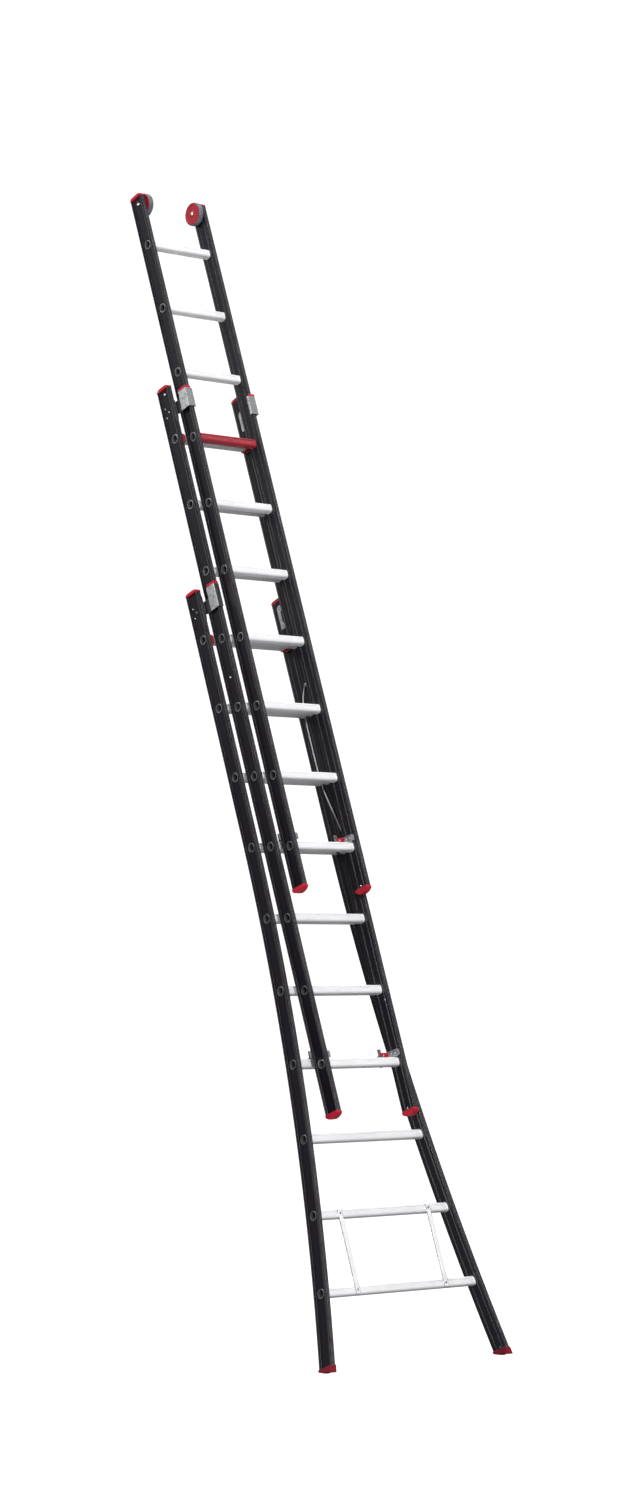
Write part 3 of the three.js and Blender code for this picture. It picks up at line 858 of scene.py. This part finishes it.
def make_end_cap(section, hand, side):
    node = f"{section.name}_end_cap_{hand}"
    lip = 1 * MM
    bottom = local_box(node)[0].z
    top = bottom + 24 * MM
    half = section.depth / 2 + lip
    curve_top = bottom + 13 * MM
    toe = half - 16 * MM
    toe_bottom = bottom + 3 * MM
    corners = [(-half, top), (-half, curve_top), (-toe, toe_bottom), (0, bottom)]
    corners += [(toe, toe_bottom), (half, curve_top), (half, top)]
    outline = [(y + section.back, z) for y, z in rounded(corners, 12 * MM)]
    cap = Solid()
    cap.across(outline, section.inner - lip, section.outer + lip)
    add_piece(f"{node}_shell", cap.for_side(side), [RED], section.body, bevel=1.3 * MM, stands_for=node)
    place = (side * section.inner, section.back - 2 * MM, top + 6 * MM)
    fastener(f"{section.name}_cap_screw_{hand}", section.body, place, 4 * MM, 2 * MM, -side)


def make_foot(hand, side):
    """A shoe with a level, ribbed sole on the wall side and a raised half on the climber's side."""
    section = BOTTOM
    node = f"foot_{hand}"
    lip = 1.5 * MM
    top = 22 * MM
    step = 7.5 * MM
    half = section.depth / 2 + lip
    up = LADDER.to_3x3().inverted()[2]
    slope = up.y / up.z  # of the ground, seen from the leaning ladder
    sole = []
    ribs = 7
    groove = 1.2 * MM
    for start, end, raised in ((-half, 0.0, step), (0.0, half, 0.0)):
        for rib in range(ribs):
            for share, sunk in ((0.0, groove), (0.25, 0.0), (0.75, 0.0), (0.95, groove)):
                y = start + (end - start) * (rib + share) / ribs
                sole.append((y, y * slope + raised + sunk))
    outline = [(half, top), (-half, top), *sole, (half, half * slope)]
    rings = []
    for across in (section.inner - lip, section.outer + lip):
        rings.append([(across + section.flare(z), y, z) for y, z in outline])
    foot = Solid().loft(rings).for_side(side)
    # the feet's darker red is painted shade
    add_piece(f"{node}_shoe", foot, [FOOT_RED_PAINTED_SHADE], section.body, bevel=0.5 * MM, stands_for=node)
    place = (side * (section.inner + section.flare(top)), -9 * MM, top + 7 * MM)
    fastener(f"foot_screw_{hand}", section.body, place, 4 * MM, 2 * MM, -side)


def make_brace(hand, side):
    """A shallow channel with folded edges, in front of the two lowest rungs and riveted to both."""
    node = f"brace_{hand}"
    low, high = local_box(node)
    middle = abs(low.x + high.x) / 2
    half = (high.x - low.x) / 2
    web = half * 0.8
    crown = half * 0.64
    fold = half * 0.78
    face = low.y + MM
    rungs = (BOTTOM.rungs[-1], BOTTOM.rungs[-2])
    brace = Solid()
    press = 3.4 * MM
    flat_end = 26 * MM
    full_press = flat_end + 8 * MM
    # (height, how far the middle of the strip is pressed forward into a channel)
    stations = (
        (low.z, 0.0), (rungs[0] + flat_end, 0.0), (rungs[0] + full_press, press),
        (rungs[1] - full_press, press), (rungs[1] - flat_end, 0.0), (high.z, 0.0),
    )
    rings = []
    for height, pressed in stations:
        outline = [
            (-web, high.y - MM), (-web, face), (-crown, face - pressed),
            (crown, face - pressed), (web, face), (web, high.y - MM),
        ]
        rings.append([(middle + x, y, height) for x, y in outline])
    brace.loft(rings)
    # the folded edges take the darker steel finish, as painted shade lines along the brace's sides
    for edge in (-1, 1):
        flange = [
            (edge * fold, high.y - 0.6 * MM), (edge * fold, face - 0.3 * MM),
            (edge * half, face + 0.4 * MM), (edge * half, high.y + 0.4 * MM),
        ][::edge]
        brace.loft([[(middle + x, y, height) for x, y in flange] for height in (low.z, high.z)], finish=1)
    shape = brace.for_side(side)
    add_piece(f"{node}_channel", shape, [BRIGHT, STEEL], BOTTOM.body, bevel=0.3 * MM, stands_for=node)
    turns = [2 * math.pi * n / 16 for n in range(16)]
    dome = ((5 * MM, 0.0), (4.6 * MM, 1 * MM), (2.8 * MM, 1.9 * MM), (0.3 * MM, 2.2 * MM))
    for label, height in zip(("low", "high"), rungs):
        rings = []
        for radius, out in dome:
            centre = Vector((side * middle, face - out, height))
            rings.append([centre + Vector((radius * math.cos(a), 0, radius * math.sin(a))) for a in turns])
        add_piece(f"brace_rivet_{hand}_{label}", Solid().loft(rings), [STEEL], BOTTOM.body)


# ---- guide brackets


def make_guide(own, guest, hand, side):
    """A bracket that holds the next section's stile: a base plate and a black arm on its own stile, a bent
    steel strap round the guest stile, and a red liner in it. Only the fly section's strap has a lip."""
    node = f"{own.name}_guide_{hand}"
    low, high = local_box(node)
    bottom, top = low.z, high.z
    outer = own.inner - GAP
    inner = outer - PLATE
    front = low.y
    rear = front + PLATE

    base_front = own.front_face + MM
    base_back = own.front_face + 40 * MM
    base_bottom = bottom - 20 * MM
    base_top = top - 26 * MM
    chamfer = 10 * MM
    base_corners = [
        (base_front, base_bottom), (base_back, base_bottom), (base_back, base_top - chamfer),
        (base_back - 0.9 * chamfer, base_top), (base_front, base_top),
    ]
    base = Solid().across(rounded(base_corners, 4 * MM), inner + MM, outer)
    add_piece(f"{own.name}_guide_base_{hand}", base.for_side(side), [STEEL], own.body, bevel=0.4 * MM)

    strap_back = guest.back_face - 25 * MM
    arm_front = strap_back - 8 * MM
    arm_back = own.front_face + 22 * MM
    arm_top = bottom + 52 * MM
    arm_corners = [(arm_back, bottom + 2 * MM), (arm_back, arm_top), (arm_front, arm_top)]
    arm_corners.append((arm_front, bottom - 4 * MM))
    arm_face = inner - 1.2 * MM
    arm = Solid().across(rounded(arm_corners, 6 * MM), arm_face, inner + MM)
    add_piece(f"{own.name}_guide_arm_{hand}", arm.for_side(side), [BLACK], own.body, bevel=0.6 * MM)

    if guest is FLY:
        lip = guest.inner - MM
        lip_back = front + 12 * MM
        edge = [(lip, rear), (lip, lip_back), (lip - PLATE, lip_back), (lip - PLATE, front)]
    else:
        edge = [(guest.inner + MM, rear), (guest.inner + MM, front)]
    wrap = [(outer, strap_back), (inner, strap_back), (inner, rear), *edge, (outer, front)]
    strap_top = top - 10 * MM
    strap = Solid().up(rounded(wrap, 2 * MM, steps=2), bottom, strap_top)
    add_piece(f"{node}_strap", strap.for_side(side), [STEEL], own.body, bevel=0.5 * MM, stands_for=node)

    clear = 0.8 * MM
    lining_outer = guest.outer + clear
    lining_front = guest.front_face - clear
    lining_end = guest.inner + 2 * MM
    liner_outer = inner - 0.1 * MM
    liner_front = rear + 0.1 * MM
    liner = [
        (liner_outer, strap_back - 2 * MM), (lining_outer, strap_back - 2 * MM),
        (lining_outer, lining_front), (lining_end, lining_front), (lining_end, liner_front),
        (liner_outer, liner_front),
    ]
    collar_back = guest.front_face + 38 * MM
    collar_front = front + 0.5 * MM
    collar = [
        (outer, collar_back), (lining_outer, collar_back), (lining_outer, lining_front),
        (lining_end, lining_front), (lining_end, collar_front), (outer, collar_front),
    ]
    lining = Solid()
    lining.up(liner, bottom + 2 * MM, strap_top - 0.2 * MM)
    lining.up(rounded(collar, 1.5 * MM, steps=2), strap_top + 0.2 * MM, top)
    add_piece(f"{own.name}_guide_liner_{hand}", lining.for_side(side), [RED], own.body, bevel=0.6 * MM)

    place = (side * arm_face, guest.back_face - 6 * MM, bottom + 26 * MM)
    fastener(f"{own.name}_guide_bolt_{hand}", own.body, place, 5 * MM, 2.2 * MM, -side)
    rivets = ((16 * MM, 42 * MM), (-1 * MM, 22 * MM), (17 * MM, 4 * MM))
    for number, (back, height) in enumerate(rivets):
        place = (side * own.web, own.back + back, bottom + height)
        name = f"{own.name}_guide_rivet_{hand}_{number + 1}"
        fastener(name, own.body, place, 3.6 * MM, 2.2 * MM, side)


# ---- hooks and pawls


def host_rung_from(own, host):
    """The rung that carries a hook, seen from the hook's own lowest rung: how far back and how far up."""
    return host.back - own.back, host.rungs[-1 - RUNGS_RAISED] - own.rungs[-1]


def make_hook(own, host, hand, side):
    """A plate beside the stile that rests on the host section's rung, with a tab above it."""
    node = f"{own.name}_hook_{hand}"
    back, up = host_rung_from(own, host)
    notch = RUNG_HALF + MM
    leg_front = back - notch - 12 * MM
    leg_back = back + notch + 12 * MM
    underside = up + RUNG_HALF + 0.5 * MM
    front = -own.depth / 2 + 3 * MM
    tab = back - 8 * MM
    tab_top = 73 * MM
    arm_top = underside + 7 * MM
    corners = [
        (front, notch), (leg_front, notch), (leg_front, 0), (back - notch, 0),
        (back - notch, underside), (back + notch, underside), (back + notch, up), (leg_back, up),
        (leg_back, arm_top), (tab + 7 * MM, arm_top), (tab + 6 * MM, tab_top), (tab, tab_top),
        (tab, arm_top), (leg_front, arm_top), (front, 42 * MM),
    ]
    outline = [(y + own.back, z + own.rungs[-1]) for y, z in rounded(corners, 3 * MM)]
    outer = own.inner - GAP
    face = outer - HOOK_THICKNESS
    hook = Solid().across(outline, face, outer)
    add_piece(f"{node}_forging", hook.for_side(side), [STEEL], own.body, bevel=0.9 * MM, stands_for=node)
    for number, (y, z) in enumerate(((front + 12 * MM, 29 * MM), (front + 34 * MM, 33 * MM))):
        place = (side * face, own.back + y, own.rungs[-1] + z)
        name = f"{own.name}_hook_rivet_{hand}_{number + 1}"
        fastener(name, own.body, place, 4.2 * MM, 1.8 * MM, -side)


def make_pawl(own, host, hand, side):
    """A red lever on a black leg, whose toe closes the hook below the host section's rung."""
    node = f"{own.name}_pawl_{hand}"
    back, up = host_rung_from(own, host)
    leg_back = back - RUNG_HALF - 17 * MM
    leg_front = leg_back - 12 * MM
    toe = up - RUNG_HALF - 3 * MM
    toe_bottom = toe - 5 * MM
    toe_back = leg_back + 30 * MM
    split = 24 * MM
    shank_top = split + 6 * MM
    shank_front = leg_front + MM
    shank_back = leg_back - MM
    toe_corners = [
        (leg_back - 6 * MM, toe_bottom), (toe_back, toe_bottom), (toe_back, toe), (shank_back, toe),
        (shank_back, shank_top), (shank_front, shank_top), (shank_front, split - 6 * MM),
        (leg_back - 6 * MM, split - 16 * MM),
    ]
    lever_corners = [
        (leg_front, split), (leg_back, split), (leg_back, 40 * MM), (leg_back + 16 * MM, 47 * MM),
        (leg_back + 14 * MM, 55 * MM), (leg_front - 10 * MM, 43 * MM), (leg_front, 31 * MM),
    ]
    outer = own.inner - GAP - HOOK_THICKNESS - GAP
    face = outer - PAWL_THICKNESS
    # the leg's black is painted shade, for the shadow behind the stiles where it stands
    parts = (("toe", BLACK, 0.6 * MM, None, toe_corners), ("lever", RED, 0.0, node, lever_corners))
    for label, material, thinner, stands_for, corners in parts:
        outline = [(y + own.back, z + own.rungs[-1]) for y, z in rounded(corners, 3 * MM)]
        part = Solid().across(outline, face + thinner, outer - thinner).for_side(side)
        add_piece(f"{node}_{label}", part, [material], node, bevel=0.9 * MM, stands_for=stands_for)
    pivot = FROM_ROW @ Vector(joint(f"{node}_turn")["pos_m"])
    fastener(f"{node}_pin", node, (side * face, pivot.y, pivot.z), 4 * MM, 1.8 * MM, -side)


# ---- wheels


def make_wheel(hand, side):
    """A red hub, a grey tyre, and the axle with its nut and bolt head, which stay with the fly section."""
    node = f"wheel_{hand}"
    low, high = local_box(node)
    centre = (low + high) / 2
    half = (high.x - low.x) / 2
    radius = (high.z - low.z) / 2
    rim = radius - 3 * MM
    boss = 12 * MM
    # Half profiles, as (radius, along), from one face to the middle.
    hub = [
        (5.6 * MM, -half), (boss, -half), (boss + 1.5 * MM, -half + 1.5 * MM),
        (rim - 9 * MM, -half + 1.8 * MM), (rim - 8 * MM, -half + 0.8 * MM),
        (rim - 2 * MM, -half + 0.4 * MM), (rim - 0.5 * MM, -half + 1.4 * MM),
        (rim - 0.5 * MM, -half + 2.6 * MM),
    ]
    hub += [(r, -along) for r, along in reversed(hub)]
    solid = Solid().lathe(hub, centre, sides=48, closed=True)
    # the hub's darker red is painted shade
    add_piece(f"{node}_hub", solid, [HUB_RED_PAINTED_SHADE], node, stands_for=node)
    groove = radius - MM
    tyre = [
        (rim - MM, -half + 2.8 * MM), (rim + 0.2 * MM, -half + 1.8 * MM),
        (groove, -half + 2.2 * MM), (radius - 0.2 * MM, -half + 4 * MM), (radius, -3.4 * MM),
        (groove, -2.4 * MM), (groove, -1 * MM), (radius, 0.0),
    ]
    tyre += [(r, -along) for r, along in reversed(tyre[:-1])]
    solid = Solid().lathe(tyre, centre, sides=64, closed=True)
    add_piece(f"{node}_tyre", solid, [RUBBER], node)

    pin_inner = centre.x - side * (half + 3 * MM)
    length = abs(side * (FLY.web + MM) - pin_inner)
    shaft = 5 * MM
    tip = 0.3 * MM
    profile = [(tip, 0.0), (shaft, 0.0), (shaft, length), (tip, length)]
    axle = Solid().lathe(profile, (pin_inner, centre.y, centre.z), sides=20, direction=side)
    add_piece(f"wheel_axle_{hand}", axle, [STEEL], FLY.body)
    nut = (centre.x - side * (half - 0.8 * MM), centre.y, centre.z)
    fastener(f"wheel_nut_{hand}", FLY.body, nut, 8 * MM, 4.5 * MM, -side)
    head = (side * FLY.web, centre.y, centre.z)
    fastener(f"wheel_bolt_{hand}", FLY.body, head, 7.5 * MM, 4 * MM, side)


def make_stile_fasteners(hand, side):
    """The bolt and rivets in the middle section's stile that hold no bracket."""
    fitted = (
        ("top_bolt", MIDDLE.web, 0.0, MIDDLE.tube_top - 23 * MM, 5.5 * MM, 3 * MM, side),
        ("plug_rivet", MIDDLE.outer + 0.6 * MM, 25 * MM, MIDDLE.tube_top - MM, 3 * MM, 1.5 * MM, side),
        ("anchor_rivet", MIDDLE.web, 4 * MM, 2616 * MM, 4 * MM, 2 * MM, side),
        ("stop_rivet", MIDDLE.inner, -20 * MM, 1329 * MM, 4 * MM, 2 * MM, -side),
    )
    for label, across, back, height, radius, thickness, facing in fitted:
        place = (side * across, MIDDLE.back + back, height)
        fastener(f"middle_{label}_{hand}", MIDDLE.body, place, radius, thickness, facing)


# ---- assembly

for section in SECTIONS:
    for hand, side in SIDES:
        make_stile(section, hand, side)
        make_top_plug(section, hand, side)
    for index in range(RUNGS_PER_SECTION):
        make_rung(section, index)

for hand, side in SIDES:
    make_foot(hand, side)
    make_brace(hand, side)
    make_end_cap(MIDDLE, hand, side)
    make_end_cap(FLY, hand, side)
    make_guide(BOTTOM, MIDDLE, hand, side)
    make_guide(MIDDLE, FLY, hand, side)
    make_hook(MIDDLE, BOTTOM, hand, side)
    make_hook(FLY, MIDDLE, hand, side)
    make_pawl(MIDDLE, BOTTOM, hand, side)
    make_pawl(FLY, MIDDLE, hand, side)
    make_rung_collar(BOTTOM, hand, side)
    make_rung_collar(MIDDLE, hand, side)
    make_wheel(hand, side)
    make_stile_fasteners(hand, side)

# ---- floor, light and world


def make_floor():
    half = 40.0
    corners = [(-half, -half, 0), (half, -half, 0), (half, half, 0), (-half, half, 0)]
    data = bpy.data.meshes.new("floor")
    data.from_pydata(corners, [], [(0, 1, 2, 3)])
    data.materials.append(pale_floor())
    new_object("floor", data)


def make_softbox(name, place, target, size, power):
    data = bpy.data.lights.new(name, "AREA")
    data.shape = "SQUARE"
    data.size = size
    data.energy = power
    light = new_object(name, data)
    light.location = place
    light.rotation_mode = "QUATERNION"
    light.rotation_quaternion = (Vector(target) - Vector(place)).to_track_quat("-Z", "Y")


def make_world():
    """White behind the object, and a softer light that is stronger from above than from the sides."""
    world = bpy.data.worlds.new("studio")
    world.use_nodes = True
    bpy.context.scene.world = world
    at_horizon, overhead, backdrop = 0.08, 0.8, 1.15
    n = Tree(world.node_tree)
    split = n.node("SeparateXYZ")
    n.link(n.node("TexCoord").outputs["Generated"], split.inputs[0])
    strength = n.node("Mix")
    n.link(n.node("LightPath").outputs["Is Camera Ray"], strength.inputs[0])
    n.link(n.ramp(split.outputs["Z"], 0.0, 0.9, at_horizon, overhead), strength.inputs[2])
    strength.inputs[3].default_value = backdrop
    background = n.tree.nodes["Background"]
    background.inputs["Color"].default_value = (1, 1, 1, 1)
    n.link(strength.outputs[0], background.inputs["Strength"])


make_floor()
make_world()
LADDER_MIDDLE = (0, 0, 2.6)
make_softbox("key", (-4.5, -8.5, 5.0), LADDER_MIDDLE, 1.6, 900)
make_softbox("side", (-7.5, 4.5, 5.5), LADDER_MIDDLE, 4.0, 230)
make_softbox("top", (0, 1.0, 9.0), (0, 0, 0), 5.0, 330)
bpy.context.scene.view_settings.view_transform = "Standard"
